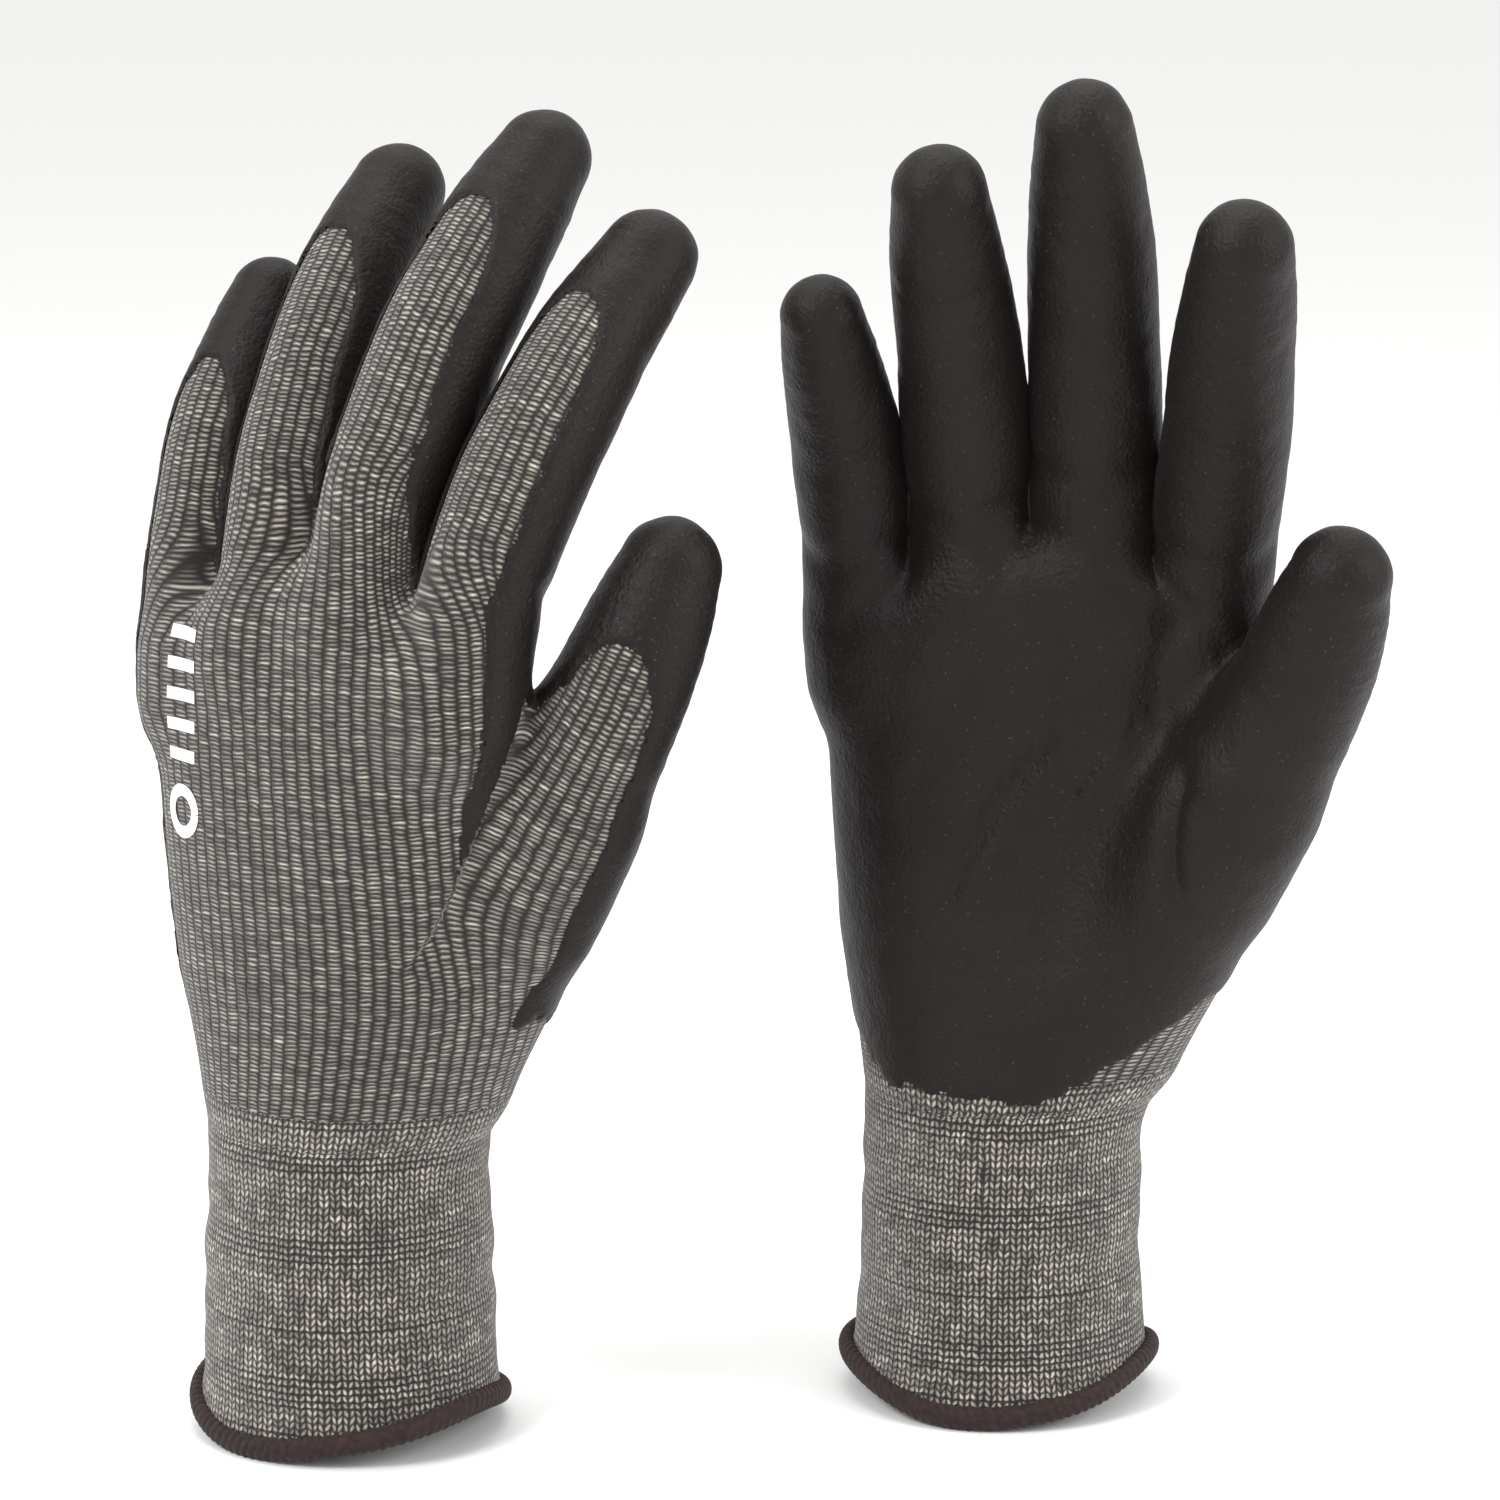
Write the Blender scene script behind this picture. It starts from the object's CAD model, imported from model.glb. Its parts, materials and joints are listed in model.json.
import json
import math
from functools import partial
from itertools import product

import bpy
import numpy as np
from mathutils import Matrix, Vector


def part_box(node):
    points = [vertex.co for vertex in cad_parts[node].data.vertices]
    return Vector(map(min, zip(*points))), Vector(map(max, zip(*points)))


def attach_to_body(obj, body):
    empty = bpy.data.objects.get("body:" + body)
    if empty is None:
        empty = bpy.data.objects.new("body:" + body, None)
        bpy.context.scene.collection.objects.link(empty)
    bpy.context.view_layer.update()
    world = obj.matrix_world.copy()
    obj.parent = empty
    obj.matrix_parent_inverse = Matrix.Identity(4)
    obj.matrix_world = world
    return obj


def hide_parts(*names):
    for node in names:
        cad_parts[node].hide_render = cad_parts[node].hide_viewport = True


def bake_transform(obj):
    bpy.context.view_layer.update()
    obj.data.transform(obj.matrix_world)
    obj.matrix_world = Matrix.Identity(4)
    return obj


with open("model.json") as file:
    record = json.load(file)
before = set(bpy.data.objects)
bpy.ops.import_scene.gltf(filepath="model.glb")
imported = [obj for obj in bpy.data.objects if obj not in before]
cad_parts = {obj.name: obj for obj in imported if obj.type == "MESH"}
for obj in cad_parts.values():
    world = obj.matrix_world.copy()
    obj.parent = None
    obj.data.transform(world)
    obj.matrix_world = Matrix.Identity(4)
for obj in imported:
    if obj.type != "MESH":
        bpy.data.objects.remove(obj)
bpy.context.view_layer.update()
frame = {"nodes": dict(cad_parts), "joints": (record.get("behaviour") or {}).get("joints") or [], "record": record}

import openvdb
from mathutils import Vector

# The soft skin of each glove is worked out in the glove's own frame, in millimetres: x towards the
# thumb, y towards the palm and z up, with the cuff's centre on the floor as the origin. Both gloves
# share that frame as if both were left hands, and the right one is mirrored on its way out.
MM = 0.001
GLOVES = ("left", "right")
DIGITS = ("pinky", "ring", "middle", "index", "thumb")
WRIST = 60.0
LEAN = {"left": -1.7, "right": 4.0}
MIDDLE_BEND = {"left": 12.0, "right": 12.0}
END_BEND = {"left": 7.0, "right": 2.5}
SECOND = {"pinky": 15.8, "ring": 20.6, "middle": 21.4, "index": 21.1, "thumb": 12.9}
THIRD = {"pinky": 13.8, "ring": 18.0, "middle": 18.6, "index": 18.4, "thumb": 12.9}
RADII = {
    "pinky": (10.3, 9.8, 8.6, 6.7),
    "ring": (11.6, 11.0, 9.9, 7.8),
    "middle": (11.6, 11.4, 10.4, 8.0),
    "index": (11.2, 11.1, 10.2, 8.0),
    "thumb": (14.0, 12.1, 11.0, 8.8),
}

# Sections of the cuff and hand: height, half width, half depth, and the centre across and palmward.
SECTIONS = np.array([
    (-6, 29.6, 29.0, 0.0, 0.0),
    (4, 28.8, 28.3, 0.0, 0.0),
    (16, 27.2, 27.4, 0.0, 0.0),
    (30, 26.6, 27.2, 0.0, 0.0),
    (58, 26.4, 26.0, 0.6, -0.3),
    (74, 30.2, 24.2, 2.6, -2.6),
    (90, 34.4, 22.0, 4.2, -4.8),
    (114, 37.2, 19.2, 5.2, -6.2),
    (141, 39.6, 16.8, 6.0, -6.0),
    (165, 41.0, 14.4, 6.6, -5.0),
    (182, 42.0, 13.0, 7.0, -4.6),
])
# Height of the web between the fingers, across the hand.
WEB = np.array([
    (-46.0, 144), (-38, 150), (-16, 159), (6, 166),
    (28, 160), (40, 147), (47, 131), (54, 118),
])
BALL_START = np.array([19.0, 1.0, 74.0])
BALL_RADIUS = 17.0
# How far below its root a digit's centre line starts.
FINGER_ROOT = 26.0
THUMB_ROOT = 18.0
# Radii over which the shapes flow into each other.
FINGER_JOIN = 2.2
HAND_JOIN = 7.0
BALL_JOIN = 6.0
WEB_JOIN = 9.0

# The grid that the skin is meshed on, and the space left round the CAD.
VOXEL = 0.8
COARSE = 4
BAND = 3.0
NEAR_CELLS = 1.8
MARGIN = 8.0
BELOW_FLOOR = 6.0

# The coating: its thickness, its bare angle on hand and digits, and the arch of bare knit on a digit.
COAT_THICK = 0.75
COAT_EDGE = 0.16
COAT_FOOT = 65.0
EDGE_COLUMN = 2.5
HAND_BARE_ANGLE = 66.0
BARE_ANGLE = 52.0
ARCH_START = 48.0
ARCH_END = 23.0
THUMB_SHIFT = 26.0
# Folds across the palm: from and to (across, height), depth and half width.
PALM_FOLDS = (
    (-9, 98, 9, 132, 1.5, 2.6),
    (9, 128, 13, 150, 0.5, 3.0),
    (-14, 112, -3, 150, 0.7, 4.5),
    (-31, 148, -16, 158, 1.1, 3.2),
    (30, 134, 36, 158, 1.6, 3.6),
    (36, 104, 37, 131, 1.7, 2.2),
    (2, 158, 2, 172, 0.7, 3.0),
)

# The knit: its wall, its stitches, and the height at which the cuff's face side turns to the purl side.
KNIT_WALL = 1.1
KNIT_RADIUS = 27.0
WRAP_JUMP = 30.0
FLAT_TURN = 1.25
PURL_WALE = 2.42
PURL_COURSE = 0.8
FACE_WALE = 2.2
FACE_COURSE = 1.32
FACE_TOP = 67.0

# The hem: its ring, its roll, its lowest point, and how far it rises at the sides.
HEM_HALF_WIDE = 28.9
HEM_HALF_DEEP = 28.4
HEM_HALF_HIGH = 2.15
HEM_HALF_THICK = 1.55
HEM_FOOT = 2.3
KNIT_FOOT = 3.2
HEM_RISE = 6.0
HEM_WRAPS = 104

# The print: bars over a ring, each drawn with strokes of one width.
BAR_COUNT = 5
BAR_STEP = 5.6
BAR_LOW = 130.0
BAR_ENDS = (-22.5, -14.5)
RING_CENTRE = (-18.5, 119.5)
RING_RADIUS = 3.9
STROKE = (-1.15, -0.4, 0.4, 1.15)
PRINT_PROUD = 0.22

# Where the skin is divided, and where it bends.
CUFF_SPLIT = 44.0
DIGIT_FLOOR = 90.0
WRIST_START = 50.0
WRIST_END = 78.0
BACK_REACH = 60.0
BEND_BLEND = 8.0
# Where a digit starts and stops turning with its first bone, from its root along the bone.
KNUCKLE_SPAN = {"pinky": (-1, 12), "ring": (-1, 18), "middle": (-1, 19), "index": (-1, 18), "thumb": (-1, 16)}
MIDDLE_SPAN = 9.0

CAMERA_AIM = np.array([-0.0022, 0.0186, 0.124])
CAMERA_AWAY = 1.1
CAMERA_TILT = 12
CAMERA_LENS = 140
FLOOR_HALF = 40.0


def smooth(low, high, x):
    """0 below low, 1 above high and a smooth step between."""
    share = np.clip((x - low) / (high - low), 0.0, 1.0)
    return share * share * (3 - 2 * share)


def smooth_min(a, b, radius):
    share = np.clip(0.5 + 0.5 * (b - a) / radius, 0.0, 1.0)
    return b + (a - b) * share - radius * share * (1 - share)


def lattice(cells, seed):
    """A repeatable random value from -1 to 1 at whole-numbered cells."""
    mixed = cells[..., 0] * 73856093 ^ cells[..., 1] * 19349663 ^ cells[..., 2] * 83492791 ^ seed * 2654435
    mixed = (mixed ^ (mixed >> 13)) * 1274126177
    mixed = (mixed ^ (mixed >> 16)) & 0xFFFF
    return mixed / 32767.5 - 1.0


def noise(points, scale, seed=1):
    """Smooth value noise from -1 to 1 with features of the given size; scale may differ by axis."""
    at = points / np.asarray(scale, float)
    base = np.floor(at).astype(np.int64)
    part = at - base
    part = part * part * (3 - 2 * part)
    total = 0.0
    for corner in range(8):
        step = np.array([corner & 1, corner >> 1 & 1, corner >> 2 & 1])
        weight = np.prod(np.where(step, part, 1 - part), axis=-1)
        total = total + weight * lattice(base + step, seed)
    return total


class Glove:
    """One glove's place in the row frame and its skeleton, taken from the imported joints."""

    def __init__(self, name):
        self.name = name
        self.side = 1.0 if name == "left" else -1.0
        joints = {joint["name"]: joint for joint in frame["joints"]}
        wrist = joints[name + "_wrist_bend"]
        place = np.array(wrist["pos_m"]) / MM
        across = -np.array(wrist["axis"]) * self.side
        palm = np.cross((0.0, 0.0, 1.0), -np.array(wrist["axis"]))
        self.turn = np.array([across, palm, (0.0, 0.0, 1.0)])
        self.origin = np.array([place[0], place[1], 0.0])
        self.lean = math.radians(LEAN[name])
        self.chains = {}
        for digit in DIGITS:
            root = joints["%s_%s_knuckle_bend" % (name, digit)]
            middle = joints["%s_%s_middle_bend" % (name, digit)]
            self.chains[digit] = self.chain(digit, root, middle)

    def inward(self, points):
        return (points - self.origin) @ self.turn.T

    def outward(self, points):
        return points @ self.turn + self.origin

    def chain(self, digit, root, middle):
        """Bone ends of a digit, its palmward direction at the root and its smooth centre line."""
        start = np.array(root["pos_m"]) / MM
        bend = np.array(middle["pos_m"]) / MM
        along = (bend - start) / np.linalg.norm(bend - start)
        palmward = np.cross(along, -np.array(root["axis"]))
        along = self.turn @ along
        palmward = self.turn @ palmward
        ends = [self.inward(start), self.inward(bend)]
        way = along
        normal = palmward
        for length, angle in ((SECOND[digit], MIDDLE_BEND[self.name]), (THIRD[digit], END_BEND[self.name])):
            turn = math.radians(angle)
            last = way
            way = last * math.cos(turn) + normal * math.sin(turn)
            normal = normal * math.cos(turn) - last * math.sin(turn)
            ends.append(ends[-1] + way * length)
        if digit == "thumb":
            low = ends[0] - THUMB_ROOT * along
        else:
            low = ends[0] - FINGER_ROOT * (along * 0.5 + np.array([0, -0.04, 0.5]))
        return {"ends": np.array(ends), "along": along, "palm": palmward,
                "line": self.centre_line([low] + ends, RADII[digit])}

    def centre_line(self, points, radii):
        """A curve that rounds the bends, as (points, radii), denser than the bones."""
        points = np.array(points)
        radii = np.array((radii[0],) + tuple(radii))
        mids = (points[1:] + points[:-1]) / 2
        mid_radii = (radii[1:] + radii[:-1]) / 2
        line = [points[0]]
        sizes = [radii[0]]
        for i in range(1, len(points) - 1):
            a, b, c = mids[i - 1], points[i], mids[i]
            ra, rb, rc = mid_radii[i - 1], radii[i], mid_radii[i]
            for share in np.linspace(0, 1, 6)[:-1]:
                line.append(a * (1 - share) ** 2 + 2 * b * share * (1 - share) + c * share ** 2)
                sizes.append(ra * (1 - share) ** 2 + 2 * rb * share * (1 - share) + rc * share ** 2)
        line.append(mids[-1])
        sizes.append(mid_radii[-1])
        line.append(points[-1])
        sizes.append(radii[-1])
        return np.array(line), np.array(sizes)

    def unleaned(self, points):
        """Points as they would be if the hand stood straight up from the wrist."""
        above = points[:, 2] > WRIST
        rise = points[:, 2] - WRIST
        y = points[:, 1] * math.cos(self.lean) - rise * math.sin(self.lean)
        z = WRIST + points[:, 1] * math.sin(self.lean) + rise * math.cos(self.lean)
        straight = points.copy()
        straight[:, 1] = np.where(above, y, points[:, 1])
        straight[:, 2] = np.where(above, z, points[:, 2])
        return straight

    def section(self, heights):
        return [np.interp(heights, SECTIONS[:, 0], SECTIONS[:, column]) for column in range(1, 5)]

    def hand_distance(self, points):
        """Distance to the cuff and hand, which are one tube that flattens towards the fingers."""
        straight = self.unleaned(points)
        width, depth, across, palm = self.section(straight[:, 2])
        x = straight[:, 0] - across
        y = straight[:, 1] - palm
        power = 2 + 0.5 * smooth(75, 150, straight[:, 2])
        ring = ((np.abs(x) / width) ** power + (np.abs(y) / depth) ** power) ** (1 / power)
        reach = np.maximum(np.hypot(x / width, y / depth), 1e-6)
        slope = np.sqrt((x / width ** 2) ** 2 + (y / depth ** 2) ** 2) / reach
        tube = (ring - 1) / np.maximum(slope, 1e-6)
        top = straight[:, 2] - np.interp(straight[:, 0], WEB[:, 0], WEB[:, 1])
        return -smooth_min(-tube, -top, WEB_JOIN)

    def line_distance(self, points, line, sizes):
        """Distance to a chain of tapering bones with round ends."""
        best = np.full(len(points), 1e3)
        for i in range(len(line) - 1):
            a = line[i]
            step = line[i + 1] - a
            share = np.clip((points - a) @ step / (step @ step), 0, 1)
            gap = np.linalg.norm(points - a - share[:, None] * step, axis=1)
            best = np.minimum(best, gap - (sizes[i] + (sizes[i + 1] - sizes[i]) * share))
        return best

    def distance(self, points):
        fingers = None
        for digit in DIGITS[:4]:
            one = self.line_distance(points, *self.chains[digit]["line"])
            fingers = one if fingers is None else smooth_min(fingers, one, FINGER_JOIN)
        body = smooth_min(self.hand_distance(points), fingers, HAND_JOIN)
        thumb = self.line_distance(points, *self.chains["thumb"]["line"])
        root = self.chains["thumb"]["ends"][0]
        ball_radii = np.array([BALL_RADIUS, RADII["thumb"][0]])
        ball = self.line_distance(points, np.array([BALL_START, root]), ball_radii)
        return smooth_min(body, smooth_min(thumb, ball, BALL_JOIN), HAND_JOIN)

    def skin(self):
        """The outer skin as (points, quads): a level set meshed with an even grid."""
        nodes = []
        for body, names in frame["record"]["behaviour"]["bodies"].items():
            if body.startswith(self.name):
                nodes.extend(names)
        corners = np.array([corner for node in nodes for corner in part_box(node)]) / MM
        low, high = corners.min(axis=0), corners.max(axis=0)
        inner = self.inward(np.array(list(product(*zip(low, high)))))
        low = inner.min(axis=0) - MARGIN
        high = inner.max(axis=0) + MARGIN
        low[2] = -BELOW_FLOOR
        big = VOXEL * COARSE
        counts = np.ceil((high - low) / big).astype(int) + 1
        index = np.argwhere(np.ones(counts, bool))
        rough = self.distance(low + index * big).reshape(counts)
        fine_counts = (counts - 1) * COARSE + 1
        field = np.full(fine_counts, BAND, np.float32)
        near = np.zeros(counts - 1, bool)
        inside = np.zeros(counts - 1, bool)
        for corner in range(8):
            step = (corner & 1, corner >> 1 & 1, corner >> 2 & 1)
            part = rough[step[0]:counts[0] - 1 + step[0], step[1]:counts[1] - 1 + step[1],
                         step[2]:counts[2] - 1 + step[2]]
            near |= np.abs(part) < big * NEAR_CELLS
            inside |= part < 0
        spread = np.repeat(np.repeat(np.repeat(near, COARSE, 0), COARSE, 1), COARSE, 2)
        filled = np.repeat(np.repeat(np.repeat(inside, COARSE, 0), COARSE, 1), COARSE, 2)
        field[:-1, :-1, :-1] = np.where(filled, -BAND, BAND)
        cells = np.argwhere(spread)
        for chunk in np.array_split(cells, 8):
            values = self.distance(low + chunk * VOXEL)
            field[chunk[:, 0], chunk[:, 1], chunk[:, 2]] = np.clip(values, -BAND, BAND)
        grid = openvdb.FloatGrid(background=BAND)
        grid.copyFromArray(field)
        points, quads = grid.convertToQuads(0.0)
        points = low + points.astype(float) * VOXEL
        for _ in range(2):
            points = points - self.gradient(points) * self.distance(points)[:, None]
        centres = points[quads].mean(axis=1)
        keep = centres[:, 2] > hem_line(centres)
        return compact(points, quads[keep])

    def gradient(self, points, step=0.4):
        slopes = []
        for axis in range(3):
            shift = np.zeros(3)
            shift[axis] = step
            slopes.append(self.distance(points + shift) - self.distance(points - shift))
        slopes = np.stack(slopes, 1)
        return slopes / np.maximum(np.linalg.norm(slopes, axis=1, keepdims=True), 1e-9)


def hem_line(points):
    """Height at which the cuff's knit meets the hem: it dips at the front and the back."""
    angle = np.arctan2(points[..., 0], points[..., 1])
    return KNIT_FOOT + HEM_RISE * np.sin(angle) ** 2


def compact(points, faces):
    used = np.unique(faces)
    lookup = np.full(len(points), -1)
    lookup[used] = np.arange(len(used))
    return points[used], lookup[faces]


def digit_places(glove, points):
    """For every point: the nearest digit, how far along it and the angle round from its back."""
    best = np.full(len(points), 1e3)
    nearest = np.zeros(len(points), int)
    along = np.zeros(len(points))
    angle = np.zeros(len(points))
    for number, digit in enumerate(DIGITS):
        chain = glove.chains[digit]
        ends = chain["ends"]
        bones = np.vstack([[ends[0] - chain["along"] * BACK_REACH], ends, [ends[-1] + (ends[-1] - ends[-2])]])
        spans = np.linalg.norm(np.diff(bones, axis=0), axis=1)
        starts = np.concatenate([[0], np.cumsum(spans)])[:-1] - BACK_REACH
        side = np.cross(chain["palm"], chain["along"])
        gap = np.full(len(points), 1e3)
        spot = np.zeros(len(points))
        turn = np.zeros(len(points))
        for i, span in enumerate(spans):
            way = (bones[i + 1] - bones[i]) / span
            reach = (points - bones[i]) @ way
            off = points - bones[i] - np.clip(reach, 0, span)[:, None] * way
            length = np.linalg.norm(off, axis=1)
            palm = np.cross(way, side)
            palm = palm if palm @ chain["palm"] > 0 else -palm
            closer = length < gap
            gap = np.where(closer, length, gap)
            if i:
                half_way = way + last_way
                past = (points - bones[i]) @ half_way / np.linalg.norm(half_way)
                share = smooth(-BEND_BLEND, BEND_BLEND, past)
                spot = spot * (1 - share) + (starts[i] + reach) * share
            else:
                spot = starts[0] + reach
            last_way = way
            turn = np.where(closer, np.arctan2(off @ side, -(off @ palm)), turn)
        radius = RADII[digit][0]
        closer = gap - radius < best
        best = np.where(closer, gap - radius, best)
        nearest = np.where(closer, number, nearest)
        along = np.where(closer, spot, along)
        angle = np.where(closer, turn, angle)
    return nearest, along, angle


def first_length(glove, digit):
    """From a digit's root to its middle joint."""
    ends = glove.chains[digit]["ends"]
    return np.linalg.norm(ends[1] - ends[0])


def digit_length(digit):
    """From a digit's root to the end of its tip, along the left glove's bones, for both gloves."""
    return first_length(gloves["left"], digit) + SECOND[digit] + THIRD[digit] + RADII[digit][3]


def bare_share(glove, points, nearest, along, angle):
    """Above 0 where the knit is bare and below 0 where it is coated, in millimetres from the edge."""
    straight = glove.unleaned(points)
    width, depth, across, palm = glove.section(straight[:, 2])
    x = (straight[:, 0] - across) / width
    y = (straight[:, 1] - palm) / depth
    hand = np.degrees(np.abs(np.arctan2(x, -y)))
    bare_hand = (HAND_BARE_ANGLE - hand) * 0.55
    # Round the wrist the coating ends in a line, level in the middle, that rises at both sides.
    edge = COAT_FOOT + 9.0 * smooth(-17, -29, straight[:, 0]) + 0.65 * np.maximum(straight[:, 0] - 14, 0)
    bare = bare_hand
    for number, digit in enumerate(DIGITS):
        mine = nearest == number
        length = digit_length(digit)
        start = length - ARCH_START
        reach = np.clip((along - start) / (ARCH_START - ARCH_END), 0, 1.2)
        arch = BARE_ANGLE * np.sqrt(np.clip(1 - reach ** 2.2, 0, 1))
        arch = np.where(reach >= 1, -30.0, arch)
        turn = np.degrees(angle)
        if digit == "thumb":
            turn = turn + THUMB_SHIFT
        one = (arch - np.abs(turn)) * 0.19
        blend = smooth(-56, -44, along) if digit == "thumb" else smooth(-14, 4, along)
        bare = np.where(mine, bare_hand * (1 - blend) + one * blend, bare)
    return np.maximum(bare, edge - straight[:, 2])


def folds(glove, points, nearest, along, angle, bare):
    """How far the skin stands in or out, in millimetres: joints, palm folds and slack cloth."""
    straight = glove.unleaned(points)
    x, z = straight[:, 0], straight[:, 2]
    palmside = smooth(60, 110, np.degrees(np.abs(np.arctan2(x - 4, -(straight[:, 1] + 5)))))
    rise = 0.35 * noise(points, 17.0, 3) + 0.09 * noise(points, 7.0, 5)
    coated = smooth(-0.5, -3.0, bare)
    rise += coated * 0.07 * noise(points, (2.4, 2.4, 3.6), 9)
    hand_part = smooth(-8, -22, along) * (nearest < 4) + (nearest == 4) * smooth(-2, -22, along)
    # The hollow of the palm, and the pad at its heel.
    hollow = np.exp(-((x - 6) / 15.0) ** 2 - ((z - 118) / 30.0) ** 2)
    rise -= 2.6 * hollow * palmside * hand_part
    heel = np.exp(-((x + 17) / 13.0) ** 2 - ((z - 96) / 26.0) ** 2)
    rise += 2.2 * heel * palmside * hand_part
    for foot_x, foot_z, top_x, top_z, depth, wide in PALM_FOLDS:
        way = np.array([top_x - foot_x, top_z - foot_z])
        span = np.linalg.norm(way)
        way = way / span
        run = (x - foot_x) * way[0] + (z - foot_z) * way[1]
        off = (x - foot_x) * way[1] - (z - foot_z) * way[0] + 1.6 * np.sin(run / 9.0)
        ends = smooth(-4, 6, run) * smooth(span + 4, span - 6, run)
        rise -= depth * np.exp(-(off / wide) ** 2) * ends * palmside * smooth(20, 0, along * (nearest < 4))
    for number, digit in enumerate(DIGITS):
        mine = nearest == number
        first = first_length(glove, digit)
        front = smooth(75, 130, np.degrees(np.abs(angle)))
        for spot, depth, wide in ((2.0, 0.75, 3.4), (first, 0.2, 3.0), (first + SECOND[digit], 0.16, 2.6)):
            wave = spot + 1.2 * np.sin(angle * 3 + number)
            rise -= np.where(mine, depth * front * np.exp(-((along - wave) / wide) ** 2), 0)
        tip = smooth(digit_length(digit) - 26, digit_length(digit) - 8, along) * coated
        rise += np.where(mine, 0.1 * tip * noise(points, (5.0, 5.0, 3.0), 20 + number), 0)
    ribs = smooth(WRIST + 4, WRIST - 2, z)
    slack = 0.22 * np.sin(z / 2.1) * np.sin(z / 7.3 + x / 30.0) + 0.25 * noise(points, (22, 22, 6), 31)
    rise += ribs * slack
    return rise


def knit_places(glove, points, nearest, along, angle):
    """Where each point lies on the knit, in millimetres: across the columns and along them."""
    straight = glove.unleaned(points)
    width, depth, across, palm = glove.section(straight[:, 2])
    x = (straight[:, 0] - across) / width
    y = (straight[:, 1] - palm) / depth
    turn = np.arctan2(x, -y)
    flat = smooth(70, 150, straight[:, 2])
    round_way = turn * KNIT_RADIUS
    flat_way = across + width * np.clip(turn / FLAT_TURN, -1, 1) * (1 - 0.12 * (turn / FLAT_TURN) ** 2)
    flat_way += np.sign(turn) * np.maximum(np.abs(turn) - FLAT_TURN, 0) * KNIT_RADIUS
    u = round_way * (1 - flat) + flat_way * flat
    v = straight[:, 2].copy()
    for number, digit in enumerate(DIGITS):
        mine = nearest == number
        root = glove.chains[digit]["ends"][0]
        around = root[0] + angle * RADII[digit][1]
        if digit == "thumb":
            blend = smooth(-34, -6, along)
        else:
            blend = smooth(-10, 10, along)
        u = np.where(mine, u * (1 - blend) + around * blend, u)
        v = np.where(mine, v * (1 - blend) + (root[2] + along) * blend, v)
    return u, v


def unwrapped(u, faces):
    """Across-the-knit places per face corner, with no face straddling the jump on the palm side."""
    corner = u[faces]
    jump = corner.max(axis=1) - corner.min(axis=1) > WRAP_JUMP
    low = corner < corner.mean(axis=1, keepdims=True)
    period = 2 * math.pi * KNIT_RADIUS
    corner[jump] = np.where(low[jump], corner[jump] + period, corner[jump])
    return corner


def vertex_normals(points, faces):
    """Vertex normals of a quad mesh, weighted by face area."""
    across = points[faces[:, 2]] - points[faces[:, 0]]
    other = points[faces[:, 3]] - points[faces[:, 1]]
    face = np.cross(across, other)
    normals = np.zeros_like(points)
    for column in range(4):
        np.add.at(normals, faces[:, column], face)
    return normals / np.maximum(np.linalg.norm(normals, axis=1, keepdims=True), 1e-12)


def piece(name, points, faces, normals=None, uv=None, material=None):
    """A smooth mesh piece in the row frame, in metres, with its knit places as a UV map."""
    mesh = bpy.data.meshes.new(name)
    mesh.from_pydata((points * MM).tolist(), [], faces.tolist())
    mesh.shade_smooth()
    if uv is not None:
        layer = mesh.uv_layers.new(name="Knit")
        layer.data.foreach_set("uv", uv.reshape(-1).astype(np.float32))
    if normals is not None:
        mesh.normals_split_custom_set_from_vertices(normals.tolist())
    mesh.materials.append(material)
    thing = bpy.data.objects.new(name, mesh)
    bpy.context.scene.collection.objects.link(thing)
    return thing


def as_point(glove, inner):
    return tuple(float(part) for part in glove.outward(np.array([inner]))[0] * MM)


def attach(thing, glove, part):
    """Let a piece follow its bodies: the wrist, a digit's root or its middle joint bends it."""
    name = glove.name
    if part == "cuff":
        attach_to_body(thing, name + "_cuff")
    elif part == "hand":
        as_point(glove, (0, 0, WRIST_START))
        as_point(glove, (0, 0, WRIST_END))
        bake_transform(thing)
    else:
        digit, place = part
        chain = glove.chains[digit]
        if place == "first":
            low, high = KNUCKLE_SPAN[digit]
            root = chain["ends"][0]
            as_point(glove, root + chain["along"] * low)
            as_point(glove, root + chain["along"] * high)
            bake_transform(thing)
        else:
            middle = chain["ends"][1]
            as_point(glove, middle - chain["along"] * MIDDLE_SPAN)
            as_point(glove, middle + chain["along"] * MIDDLE_SPAN)
            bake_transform(thing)


def parts_of(glove, centres, nearest, along):
    """Which part of the glove every face belongs to, as a list of (part, mask)."""
    height = centres[:, 2]
    taken = height < CUFF_SPLIT
    parts = [("cuff", taken.copy())]
    for number, digit in enumerate(DIGITS):
        first = first_length(glove, digit)
        mine = (nearest == number) & (along > KNUCKLE_SPAN[digit][0]) & (height > DIGIT_FLOOR)
        tip = mine & (along > first - MIDDLE_SPAN)
        parts.append(((digit, "first"), mine & ~tip))
        parts.append(((digit, "tip"), tip))
        taken |= mine
    parts.append(("hand", ~taken))
    return parts


def face_values(values, faces):
    return values[faces].mean(axis=1)


def node_name(glove, part, layer):
    """The CAD node that a part stands for: layer is knit or coat."""
    if part == "cuff":
        return glove.name + "_cuff_knit"
    if part == "hand":
        return glove.name + ("_hand_knit" if layer == "knit" else "_palm_coat")
    return "%s_%s_%s_%s" % (glove.name, part[0], part[1], layer)


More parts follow.
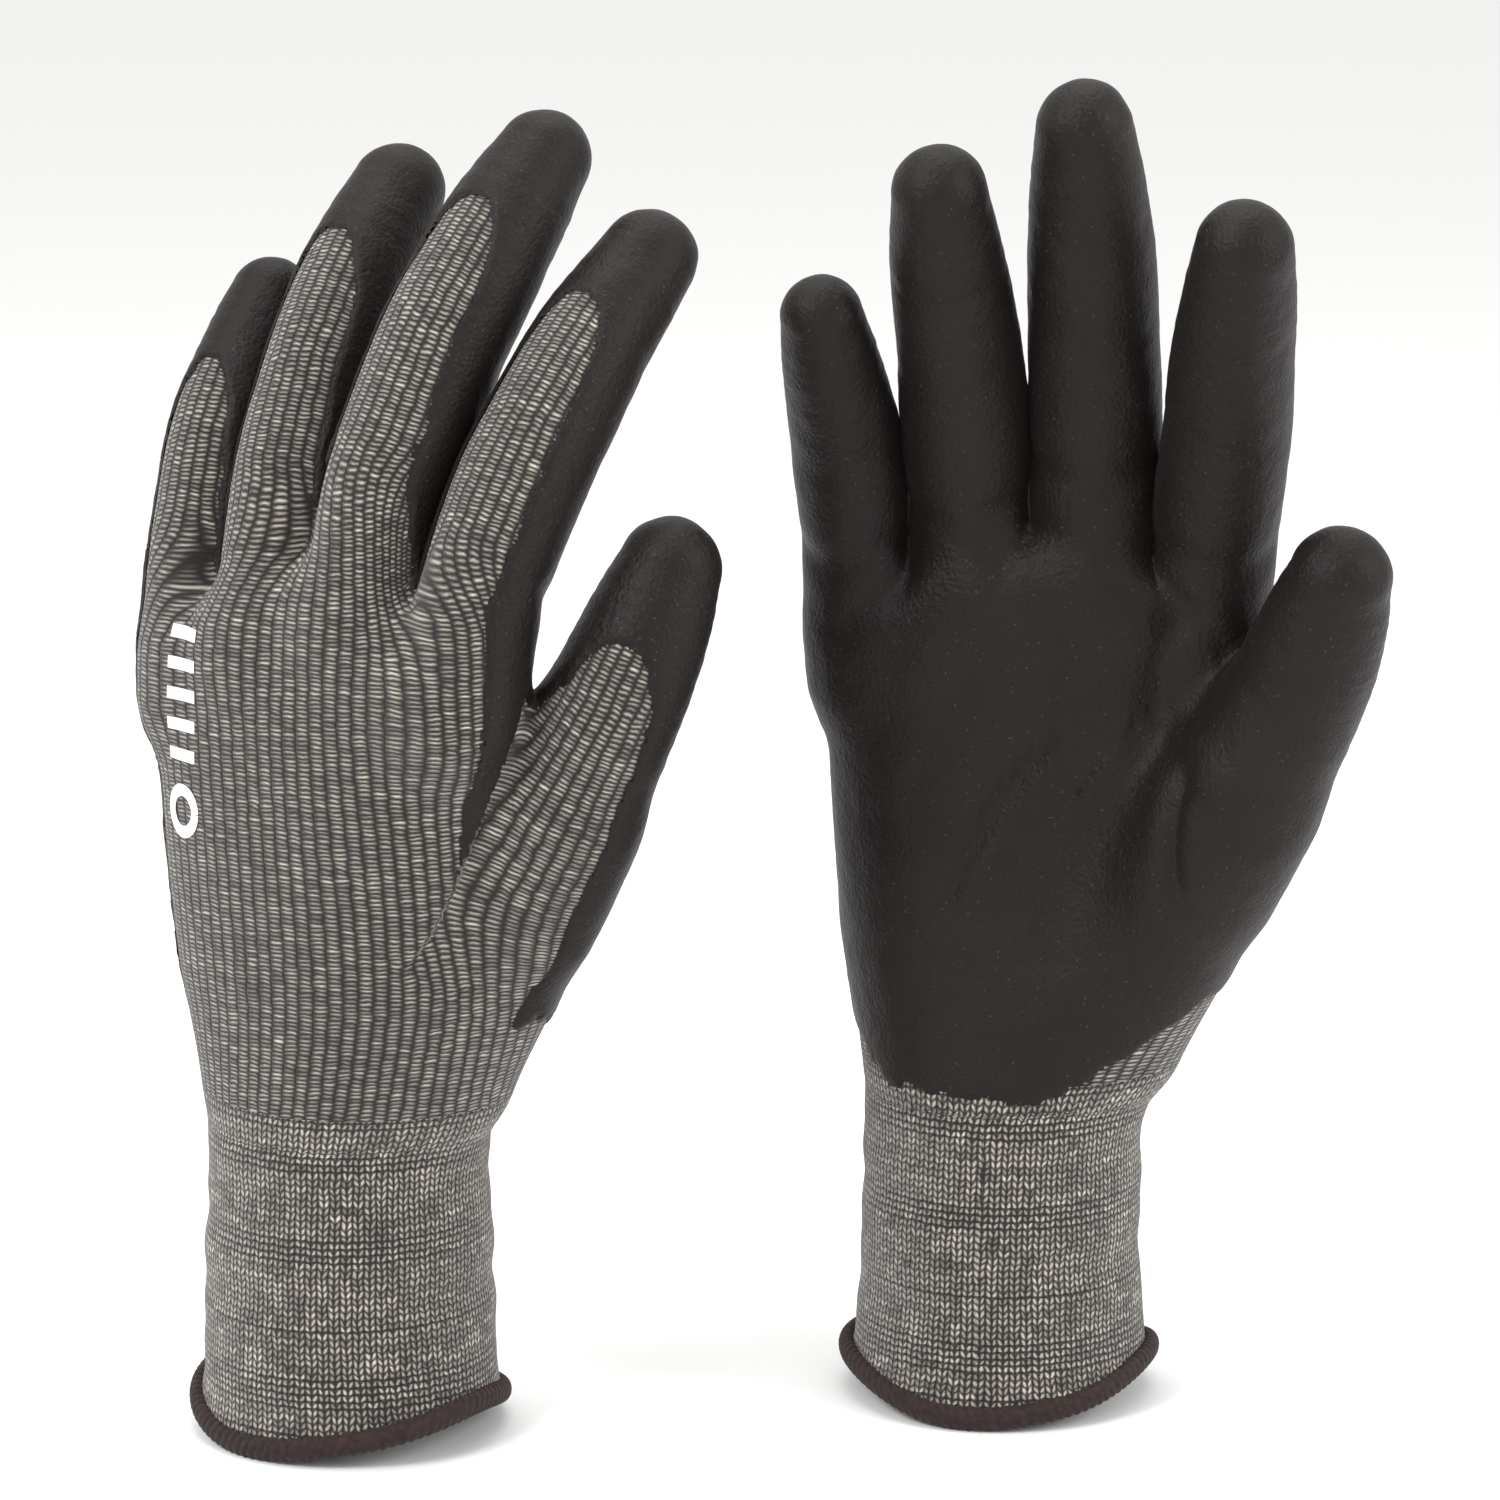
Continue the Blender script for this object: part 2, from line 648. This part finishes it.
def build_glove(glove):
    """All knit and coating pieces of one glove."""
    points, faces = glove.skin()
    nearest, along, angle = digit_places(glove, points)
    bare = bare_share(glove, points, nearest, along, angle)
    normals = vertex_normals(points, faces)
    if (normals * (points - np.array([0, 0, 120]))).sum() < 0:
        faces = faces[:, ::-1]
        normals = -normals
    rise = folds(glove, points, nearest, along, angle, bare)
    points = points + normals * rise[:, None]
    normals = vertex_normals(points, faces)
    u, v = knit_places(glove, points, nearest, along, angle)
    uv = np.stack([unwrapped(u, faces), v[faces]], -1)
    centres = points[faces].mean(axis=1)
    middle = faces[:, 0]
    parts = parts_of(glove, centres, nearest[middle], face_values(along, faces))

    # The coating's edge follows the knit's columns in small steps.
    column = np.floor(u / EDGE_COLUMN).astype(int)
    cells = np.stack([column, nearest, np.zeros_like(column)], -1)
    edge = bare + 0.9 * lattice(cells, 77) + 0.5 * noise(points, 3.0, 41)
    coated_face = (face_values(edge, faces) < 0) & (face_values(bare, faces) < 4)
    depth = np.clip(-edge, 0, 3)
    lift = COAT_EDGE + (COAT_THICK - COAT_EDGE) * smooth(0.0, 1.1, depth)
    grain = 0.035 * noise(points, 1.3, 51) + 0.05 * noise(points, 2.6, 52)
    coat_points = points + normals * (lift + grain * smooth(0.6, 2, depth))[:, None]
    coat_normals = vertex_normals(coat_points, faces)

    for part, mask in parts:
        emit(glove, part, "knit", points, faces[mask], normals, uv[mask])
        coat_mask = mask & coated_face
        if part != "cuff" and coat_mask.any():
            emit(glove, part, "coat", coat_points, faces[coat_mask], coat_normals, uv[coat_mask])


def emit(glove, part, layer, points, faces, normals, uv):
    """Make one piece, moved into the row frame, with its material, slot, node and bodies."""
    used = np.unique(faces)
    small, small_faces = compact(points, faces)
    own = normals[used]
    if glove.side < 0:
        small_faces = small_faces[:, ::-1]
        uv = uv[:, ::-1]
    name = node_name(glove, part, layer)
    cuff = part == "cuff"
    material = materials["coat"] if layer == "coat" else materials["knit"]
    thing = piece(name + "_skin", glove.outward(small), small_faces, own @ glove.turn, uv, material)
    if cuff:
        wall = thing.modifiers.new("Wall", "SOLIDIFY")
        wall.thickness = KNIT_WALL * MM
        wall.offset = -1
        wall.use_rim = False
    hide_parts(name)
    attach(thing, glove, part)


def make_hem(glove):
    """The overlocked hem: a rolled edge wrapped in slanting thread, rising at the sides."""
    turns = 640
    rounds = 20
    angle = np.linspace(0, 2 * math.pi, turns, endpoint=False)[:, None]
    section = np.linspace(0, 2 * math.pi, rounds, endpoint=False)[None, :]
    strand = np.abs(np.sin(HEM_WRAPS / 2 * angle + 0.9 * section))
    ridge = 0.34 * (strand - 0.5) + 0.12 * np.sin(3 * angle + 1.0) * np.cos(section)
    half_high = HEM_HALF_HIGH + ridge
    half_thick = HEM_HALF_THICK + ridge
    lift = HEM_FOOT + HEM_RISE * np.sin(angle) ** 2 + 0.25 * np.sin(5 * angle + 0.4)
    out = half_thick * np.cos(section)
    up = half_high * np.sin(section)
    x = (HEM_HALF_WIDE + 0.35 * np.sin(4 * angle) + out) * np.sin(angle)
    y = (HEM_HALF_DEEP + 0.3 * np.sin(3 * angle + 2) + out) * np.cos(angle)
    z = np.broadcast_to(lift + up, x.shape)
    points = np.stack([x, y, z], -1).reshape(-1, 3)
    points[:, 2] -= points[:, 2].min()
    ring = np.arange(turns)
    faces = []
    for k in range(rounds):
        nxt = (k + 1) % rounds
        a = ring * rounds + k
        b = np.roll(ring, -1) * rounds + k
        c = np.roll(ring, -1) * rounds + nxt
        d = ring * rounds + nxt
        faces.append(np.stack([a, b, c, d], -1))
    faces = np.concatenate(faces)
    if glove.side > 0:
        faces = faces[:, ::-1]
    along = np.broadcast_to(angle * 29, x.shape)
    around = np.broadcast_to(section * 2.2, x.shape)
    base = np.stack([along, around], -1).reshape(-1, 2)
    thing = piece(glove.name + "_hem_roll", glove.outward(points), faces, uv=base[faces],
                  material=materials["hem"])
    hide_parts(glove.name + "_hem")
    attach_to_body(thing, glove.name + "_cuff")


def tree(name):
    material = bpy.data.materials.new(name)
    material.use_nodes = True
    nodes = material.node_tree.nodes
    return material, nodes, material.node_tree.links, nodes["Principled BSDF"]


def math_node(nodes, links, operation, *inputs, clamp=False):
    node = nodes.new("ShaderNodeMath")
    node.operation = operation
    node.use_clamp = clamp
    for number, value in enumerate(inputs):
        if isinstance(value, (int, float)):
            node.inputs[number].default_value = value
        else:
            links.new(value, node.inputs[number])
    return node.outputs[0]


def ramp(nodes, links, value, stops):
    node = nodes.new("ShaderNodeValToRGB")
    node.color_ramp.elements[0].position = stops[0][0]
    node.color_ramp.elements[0].color = stops[0][1]
    node.color_ramp.elements[1].position = stops[-1][0]
    node.color_ramp.elements[1].color = stops[-1][1]
    for place, colour in stops[1:-1]:
        node.color_ramp.elements.new(place).color = colour
    links.new(value, node.inputs[0])
    return node.outputs[0]


def mix(nodes, links, share, first, second):
    """first where share is 0 and second where share is 1."""
    node = nodes.new("ShaderNodeMix")
    links.new(share, node.inputs[0])
    links.new(first, node.inputs[2])
    links.new(second, node.inputs[3])
    return node.outputs[0]


def grey(level):
    """A slightly warm grey."""
    return (level * 1.12, level, level * 0.87, 1)


def knit_material():
    """Melange knit: purl dashes on the hand and fingers, face-side V stitches on the cuff."""
    material, nodes, links, shader = tree("MelangeKnit")
    op = partial(math_node, nodes, links)
    places = nodes.new("ShaderNodeUVMap")
    places.uv_map = "Knit"
    split = nodes.new("ShaderNodeSeparateXYZ")
    links.new(places.outputs[0], split.inputs[0])
    u, v = split.outputs[0], split.outputs[1]
    wobble = nodes.new("ShaderNodeTexNoise")
    wobble.inputs["Scale"].default_value = 0.35
    links.new(places.outputs[0], wobble.inputs["Vector"])
    shift = op("MULTIPLY", op("SUBTRACT", wobble.outputs[0], 0.5), 0.9)
    u = op("ADD", u, shift)
    v = op("ADD", v, shift)
    face = op("LESS_THAN", v, FACE_TOP)

    # Purl side: each column is a ladder of short level dashes.
    column = op("DIVIDE", u, PURL_WALE)
    row = op("ADD", op("DIVIDE", v, PURL_COURSE), op("MULTIPLY", op("FLOOR", column), 0.5))
    across = op("ABSOLUTE", op("SUBTRACT", op("FRACT", column), 0.5))
    rise = op("ABSOLUTE", op("SUBTRACT", op("FRACT", row), 0.5))
    bar = op("SUBTRACT", 1.0, op("POWER", op("MULTIPLY", across, 2.0), 3.0))
    thread = op("SUBTRACT", 1.0, op("POWER", op("MULTIPLY", rise, 2.0), 1.6))
    purl = op("MULTIPLY", bar, thread, clamp=True)

    # Face side: two slanting legs in every column.
    wale = op("DIVIDE", u, FACE_WALE)
    from_middle = op("ABSOLUTE", op("SUBTRACT", op("FRACT", wale), 0.5))
    slope = op("ADD", op("DIVIDE", v, FACE_COURSE), op("MULTIPLY", from_middle, -1.5))
    leg_rise = op("ABSOLUTE", op("SUBTRACT", op("FRACT", slope), 0.5))
    leg = op("SUBTRACT", 1.0, op("POWER", op("MULTIPLY", leg_rise, 2.0), 1.8))
    groove = op("MULTIPLY", op("MULTIPLY", from_middle, op("SUBTRACT", 0.5, from_middle)), 16.0, clamp=True)
    vee = op("MULTIPLY", op("ADD", 0.3, op("MULTIPLY", leg, 0.9)), groove, clamp=True)

    # Bands of laid-in elastic show as level lines between the courses.
    band = nodes.new("ShaderNodeTexNoise")
    band.noise_dimensions = "1D"
    band.inputs["Scale"].default_value = 0.11
    band.inputs["Detail"].default_value = 0.0
    links.new(v, band.inputs["W"])
    banded = op("MULTIPLY", op("GREATER_THAN", band.outputs[0], 0.56), face)
    line = op("ABSOLUTE", op("SUBTRACT", op("FRACT", op("DIVIDE", v, FACE_COURSE)), 0.5))
    inlay = op("MULTIPLY", op("LESS_THAN", line, 0.17), banded)

    height = mix(nodes, links, face, purl, vee)
    height = op("SUBTRACT", height, op("MULTIPLY", inlay, 0.35), clamp=True)

    # Each stitch takes its shade from a yarn twisted of pale and dark threads.
    cell = nodes.new("ShaderNodeCombineXYZ")
    links.new(op("MULTIPLY", op("FLOOR", mix(nodes, links, face, column, wale)), 0.45), cell.inputs[0])
    links.new(op("MULTIPLY", op("FLOOR", mix(nodes, links, face, row, slope)), 1.9), cell.inputs[1])
    yarn = nodes.new("ShaderNodeTexNoise")
    yarn.inputs["Scale"].default_value = 1.0
    yarn.inputs["Detail"].default_value = 2.0
    links.new(cell.outputs[0], yarn.inputs["Vector"])
    speck = nodes.new("ShaderNodeTexWhiteNoise")
    speck.noise_dimensions = "2D"
    links.new(cell.outputs[0], speck.inputs["Vector"])
    fibre = nodes.new("ShaderNodeTexNoise")
    fibre.inputs["Scale"].default_value = 3.2
    fibre.inputs["Detail"].default_value = 3.0
    fibre.inputs["Roughness"].default_value = 0.7
    stretched = nodes.new("ShaderNodeMapping")
    stretched.inputs["Scale"].default_value = (0.35, 1.3, 1.0)
    links.new(places.outputs[0], stretched.inputs["Vector"])
    links.new(stretched.outputs[0], fibre.inputs["Vector"])
    cloud = nodes.new("ShaderNodeTexNoise")
    cloud.inputs["Scale"].default_value = 0.09
    links.new(places.outputs[0], cloud.inputs["Vector"])
    shade = op("MULTIPLY", height, 0.72)
    for source, amount in ((yarn.outputs[0], 0.55), (speck.outputs[0], 0.16), (fibre.outputs[0], 0.5),
                           (cloud.outputs[0], 0.1)):
        shade = op("ADD", shade, op("MULTIPLY", op("SUBTRACT", source, 0.5), amount))
    colour = ramp(nodes, links, shade, [(0.05, grey(0.008)), (0.27, grey(0.022)), (0.5, grey(0.085)),
                                        (0.7, grey(0.23)), (0.96, grey(0.56))])
    links.new(colour, shader.inputs["Base Color"])
    shader.inputs["Roughness"].default_value = 0.88
    shader.inputs["Specular IOR Level"].default_value = 0.25
    shader.inputs["Sheen Weight"].default_value = 0.28
    shader.inputs["Sheen Roughness"].default_value = 0.5
    bump = nodes.new("ShaderNodeBump")
    bump.inputs["Strength"].default_value = 0.75
    bump.inputs["Distance"].default_value = 0.0005
    links.new(op("ADD", height, op("MULTIPLY", fibre.outputs[0], 0.35)), bump.inputs["Height"])
    links.new(bump.outputs[0], shader.inputs["Normal"])
    return material


def coat_material():
    """Black foam coating: a fine pebbled grain over soft leathery wrinkles, with tiny pale specks."""
    material, nodes, links, shader = tree("FoamCoating")
    op = partial(math_node, nodes, links)
    place = nodes.new("ShaderNodeTexCoord")

    def grain(scale, detail, rough=0.55, stretch=None):
        texture = nodes.new("ShaderNodeTexNoise")
        texture.inputs["Scale"].default_value = scale
        texture.inputs["Detail"].default_value = detail
        texture.inputs["Roughness"].default_value = rough
        source = place.outputs["Object"]
        if stretch:
            mapping = nodes.new("ShaderNodeMapping")
            mapping.inputs["Scale"].default_value = stretch
            links.new(source, mapping.inputs["Vector"])
            source = mapping.outputs[0]
        links.new(source, texture.inputs["Vector"])
        return texture.outputs[0]

    fine = grain(1500, 3.0, 0.65)
    wrinkle = grain(190, 4.0, 0.62, (1.0, 1.0, 0.55))
    cloud = grain(28, 3.0)
    pits = nodes.new("ShaderNodeTexVoronoi")
    pits.inputs["Scale"].default_value = 1150
    links.new(place.outputs["Object"], pits.inputs["Vector"])
    spots = nodes.new("ShaderNodeTexVoronoi")
    spots.inputs["Scale"].default_value = 520
    links.new(place.outputs["Object"], spots.inputs["Vector"])
    speck = op("LESS_THAN", spots.outputs["Distance"], 0.09)
    level = op("ADD", op("MULTIPLY", cloud, 0.6), op("MULTIPLY", fine, 0.4))
    colour = ramp(nodes, links, level, [
        (0.3, (0.0050, 0.0036, 0.0033, 1)),
        (0.52, (0.0080, 0.0056, 0.0050, 1)),
        (0.75, (0.014, 0.0100, 0.0090, 1)),
    ])
    dots = nodes.new("ShaderNodeMix")
    dots.data_type = "RGBA"
    links.new(op("MULTIPLY", speck, 0.22), dots.inputs[0])
    links.new(colour, dots.inputs[6])
    dots.inputs[7].default_value = (0.16, 0.155, 0.15, 1)
    links.new(dots.outputs[2], shader.inputs["Base Color"])
    links.new(op("ADD", 0.36, op("MULTIPLY", op("ADD", fine, cloud), 0.11)), shader.inputs["Roughness"])
    shader.inputs["Specular IOR Level"].default_value = 0.19
    shader.inputs["Sheen Weight"].default_value = 0.02
    shader.inputs["Sheen Roughness"].default_value = 0.45
    height = op("ADD", op("MULTIPLY", fine, 0.42), op("MULTIPLY", wrinkle, 0.5))
    height = op("ADD", height, op("MULTIPLY", pits.outputs["Distance"], 0.22))
    bump = nodes.new("ShaderNodeBump")
    bump.inputs["Strength"].default_value = 0.55
    bump.inputs["Distance"].default_value = 0.0009
    links.new(height, bump.inputs["Height"])
    links.new(bump.outputs[0], shader.inputs["Normal"])
    return material


def thread_material(name, dark, pale, sheen=0.3):
    """Overlock or printed yarn: fuzzy, with streaks that follow the wraps."""
    material, nodes, links, shader = tree(name)
    place = nodes.new("ShaderNodeTexCoord")
    streak = nodes.new("ShaderNodeTexNoise")
    streak.inputs["Scale"].default_value = 900
    streak.inputs["Detail"].default_value = 4
    links.new(place.outputs["Object"], streak.inputs["Vector"])
    colour = ramp(nodes, links, streak.outputs[0], [(0.35, dark), (0.68, pale)])
    links.new(colour, shader.inputs["Base Color"])
    shader.inputs["Roughness"].default_value = 0.85
    shader.inputs["Sheen Weight"].default_value = sheen
    bump = nodes.new("ShaderNodeBump")
    bump.inputs["Strength"].default_value = 0.7
    bump.inputs["Distance"].default_value = 0.0003
    links.new(streak.outputs[0], bump.inputs["Height"])
    links.new(bump.outputs[0], shader.inputs["Normal"])
    return material


def make_mark(glove):
    """A plain white print on the back of the hand: a short column of bars over a ring."""
    lines = []
    for step in range(BAR_COUNT):
        lines.append([(x, BAR_LOW + BAR_STEP * step) for x in np.linspace(*BAR_ENDS, 9)])
    turns = np.linspace(0, 2 * math.pi, 33)
    ring = np.array(RING_CENTRE) + RING_RADIUS * np.stack([np.cos(turns), np.sin(turns)], 1)
    lines.append(ring)
    points = []
    faces = []
    for line in lines:
        line = np.array(line)
        way = np.gradient(line, axis=0)
        way /= np.linalg.norm(way, axis=1, keepdims=True)
        side = np.stack([-way[:, 1], way[:, 0]], 1)
        for k in range(len(line)):
            for edge in STROKE:
                spot = line[k] + side[k] * edge
                points.append((spot[0], -BACK_REACH, spot[1]))
            if k:
                base = len(points) - 8
                for lane in range(3):
                    faces.append((base + lane, base + lane + 1, base + lane + 5, base + lane + 4))
    points = np.array(points)
    faces = np.array(faces)
    # Walk each point palmward until it meets the skin, then leave it standing just proud of it.
    for _ in range(24):
        points[:, 1] += np.clip(glove.distance(points), -2, 8) * 0.9
    normals = glove.gradient(points)
    nearest, along, angle = digit_places(glove, points)
    bare = bare_share(glove, points, nearest, along, angle)
    rise = folds(glove, points, nearest, along, angle, bare)
    points = points + normals * (rise + PRINT_PROUD)[:, None]
    if glove.side < 0:
        faces = faces[:, ::-1]
    thing = piece(glove.name + "_print", glove.outward(points), faces, material=materials["print"])
    facing = vertex_normals(points, faces)
    if (facing * normals).sum() * glove.side < 0:
        thing.data.flip_normals()
    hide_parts(glove.name + "_back_mark")
    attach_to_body(thing, glove.name + "_hand")


def light(name, place, aim, size, power, colour=(1, 1, 1)):
    lamp = bpy.data.lights.new(name, "AREA")
    lamp.shape = "RECTANGLE"
    lamp.size, lamp.size_y = size
    lamp.energy = power
    lamp.color = colour
    thing = bpy.data.objects.new(name, lamp)
    thing.location = place
    way = np.array(aim) - np.array(place)
    thing.rotation_euler = look(way)
    bpy.context.scene.collection.objects.link(thing)


def look(way):
    """The turn that points a lamp or the camera that way."""
    return Vector([float(part) for part in way]).to_track_quat("-Z", "Y").to_euler()


def make_stage():
    """A wide pale floor, an even pale surround, three soft lights and the camera."""
    scene = bpy.context.scene
    scene.view_settings.view_transform = "Standard"
    mesh = bpy.data.meshes.new("Floor")
    half = FLOOR_HALF
    corners = [(-half, -half, 0), (half, -half, 0), (half, half, 0), (-half, half, 0)]
    mesh.from_pydata(corners, [], [(0, 1, 2, 3)])
    floor = bpy.data.objects.new("Floor", mesh)
    scene.collection.objects.link(floor)
    material, nodes, links, shader = tree("PaleFloor")
    shader.inputs["Base Color"].default_value = (0.86, 0.86, 0.86, 1)
    shader.inputs["Roughness"].default_value = 0.9
    mesh.materials.append(material)
    world = bpy.data.worlds.new("Surround")
    world.use_nodes = True
    world.node_tree.nodes["Background"].inputs[0].default_value = (1.0, 0.995, 0.985, 1)
    world.node_tree.nodes["Background"].inputs[1].default_value = 1.0
    scene.world = world
    light("KeyLight", (-0.8, -0.7, 1.0), (0, 0, 0.14), (0.5, 0.5), 12.0)
    light("FillLight", (1.0, -0.45, 0.6), (0, 0, 0.12), (0.4, 0.7), 7.0)
    light("TopLight", (0.0, 0.15, 1.1), (0, 0, 0.1), (0.9, 0.6), 6.0)
    lens = bpy.data.cameras.new("Camera")
    lens.lens = CAMERA_LENS
    lens.sensor_width = 36
    lens.clip_end = 100
    camera = bpy.data.objects.new("Camera", lens)
    tilt = math.radians(CAMERA_TILT)
    place = CAMERA_AIM + CAMERA_AWAY * np.array([0, -math.cos(tilt), math.sin(tilt)])
    camera.location = place
    camera.rotation_euler = look(CAMERA_AIM - place)
    scene.collection.objects.link(camera)
    scene.camera = camera


def dress_elastic():
    """Give the CAD's elastic, which stays inside the cuff, its own material."""
    for name in GLOVES:
        node = frame["nodes"][name + "_cuff_elastic"]
        node.data.materials.clear()
        node.data.materials.append(materials["elastic"])


gloves = {name: Glove(name) for name in GLOVES}
materials = {
    "knit": knit_material(),
    "coat": coat_material(),
    "hem": thread_material("OverlockThread", (0.005, 0.0018, 0.0014, 1), (0.026, 0.0082, 0.0058, 1), 0.04),
    "elastic": thread_material("ElasticThread", (0.42, 0.40, 0.36, 1), (0.72, 0.70, 0.65, 1), 0.1),
    "print": thread_material("WhitePrint", (0.62, 0.62, 0.60, 1), (0.86, 0.86, 0.84, 1), 0.05),
}
for glove_model in gloves.values():
    build_glove(glove_model)
    make_hem(glove_model)
    make_mark(glove_model)
dress_elastic()
make_stage()
